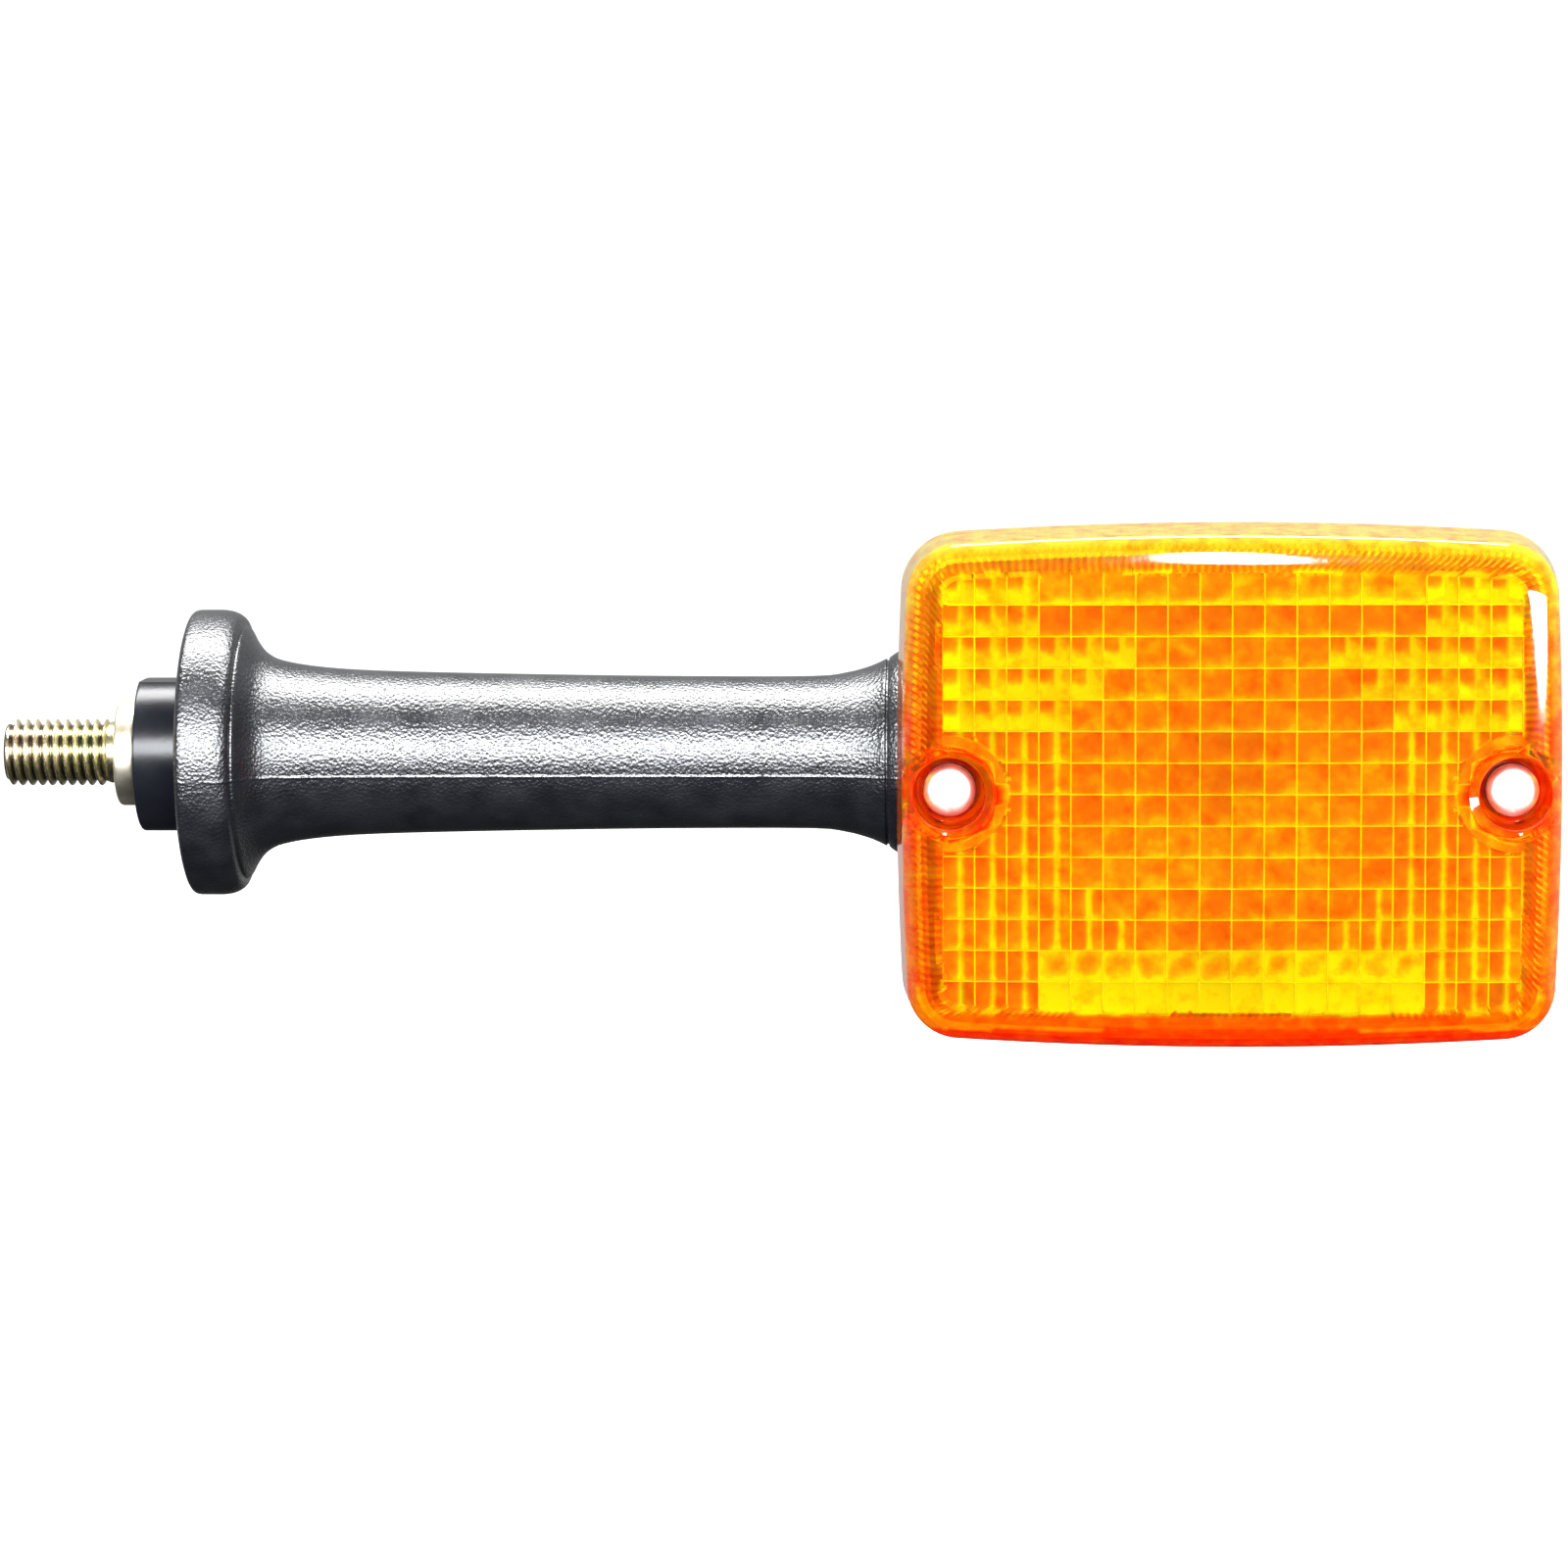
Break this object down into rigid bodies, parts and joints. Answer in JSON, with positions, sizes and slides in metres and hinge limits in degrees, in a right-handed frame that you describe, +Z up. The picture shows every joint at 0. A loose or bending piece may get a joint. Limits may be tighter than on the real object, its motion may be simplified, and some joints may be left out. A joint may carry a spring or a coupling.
{
  "type": "turn signal indicator",
  "caption": "Rectangular amber motorcycle turn signal lamp on a flexible rubber stem, with a keyed flange and a threaded mounting stud.",
  "frame": {"origin": "centre of the stem flange's bracket face, on the stem's axis", "axes": "+X along the stem to the lamp, the lens faces -Y, +Z up"},
  "size_m": [0.2309, 0.0718, 0.0762],
  "materials": {
    "zinc_gold": "yellow zinc plated steel, satin",
    "bright_steel": "bright zinc plated steel",
    "brass": "plain brass, satin",
    "black_rubber": "pebbled black rubber",
    "black_plastic": "smooth black moulded plastic",
    "amber_lens": "clear amber moulded plastic, polished outside, prisms inside",
    "mirror_coat": "metallised reflector",
    "clear_glass": "clear thin glass",
    "phenolic": "brown phenolic board",
    "red_sleeve": "red wire insulation",
    "green_sleeve": "green wire insulation",
    "tungsten": "dull grey wire and solder"
  },
  "bodies": {
    "base": {"mounting_stud": "zinc_gold", "stud_collar": "zinc_gold", "key_boss": "black_plastic", "flange_plate": "bright_steel", "lead_grommet": "black_rubber", "rubber_stem": "black_rubber", "live_lead": "red_sleeve", "ground_lead": "green_sleeve"},
    "head": {"stem_insert": "bright_steel", "stem_washer": "bright_steel", "stem_nut": "bright_steel", "housing": "black_plastic", "lens_gasket": "black_rubber", "reflector": "mirror_coat", "socket_shell": "bright_steel", "socket_bracket": "bright_steel", "ground_tab": "brass", "bracket_screw_left": "bright_steel", "bracket_screw_right": "bright_steel", "contact_spring": "bright_steel"},
    "contact": {"contact_disc": "phenolic", "contact_tip": "brass"},
    "bulb": {"bulb_base": "brass", "bulb_insulator": "phenolic", "bulb_contact": "tungsten", "bulb_pin_upper": "brass", "bulb_pin_lower": "brass", "bulb_glass": "clear_glass", "glass_mount": "clear_glass", "filament": "tungsten", "filament_support_left": "tungsten", "filament_support_right": "tungsten"},
    "lens": {"lens": "amber_lens"},
    "left_seal": {"screw_seal_left": "black_rubber"},
    "left_screw": {"lens_screw_left": "bright_steel"},
    "right_seal": {"screw_seal_right": "black_rubber"},
    "right_screw": {"lens_screw_right": "bright_steel"}
  },
  "joints": [
    {"name": "stem_flex", "type": "hinge", "parent": "base", "child": "head", "pos_m": [0.055, 0, 0], "axis": [0, 0, 1], "range_deg": [-25, 25], "stiffness_Nm_per_rad": 1, "deforming": ["rubber_stem", "live_lead", "ground_lead"]},
    {"name": "lens_lift", "type": "slide", "parent": "head", "child": "lens", "axis": [0, -1, 0], "range_m": [0, 0.06]},
    {"name": "contact_push", "type": "slide", "parent": "head", "child": "contact", "axis": [0, 1, 0], "range_m": [0, 0.0015], "stiffness_N_per_m": 3000, "springref_m": -0.003, "deforming": ["contact_spring"]},
    {"name": "bulb_turn", "type": "hinge", "parent": "contact", "child": "bulb", "pos_m": [0.1545, 0.009, -0.003], "axis": [0, -1, 0], "range_deg": [0, 20]},
    {"name": "left_screw_travel", "type": "slide", "parent": "lens", "child": "left_seal", "axis": [0, -1, 0], "range_m": [0, 0.0091]},
    {"name": "left_screw_turn", "type": "hinge", "parent": "left_seal", "child": "left_screw", "pos_m": [0.114, -0.0266, -0.003], "axis": [0, -1, 0], "range_deg": [0, 4680]},
    {"name": "right_screw_travel", "type": "slide", "parent": "lens", "child": "right_seal", "axis": [0, -1, 0], "range_m": [0, 0.0091]},
    {"name": "right_screw_turn", "type": "hinge", "parent": "right_seal", "child": "right_screw", "pos_m": [0.195, -0.0266, -0.003], "axis": [0, -1, 0], "range_deg": [0, 4680]}
  ],
  "couplings": [
    {"joint": "left_screw_turn", "follows": "left_screw_travel", "rad_per_m": 8976},
    {"joint": "right_screw_turn", "follows": "right_screw_travel", "rad_per_m": 8976}
  ]
}
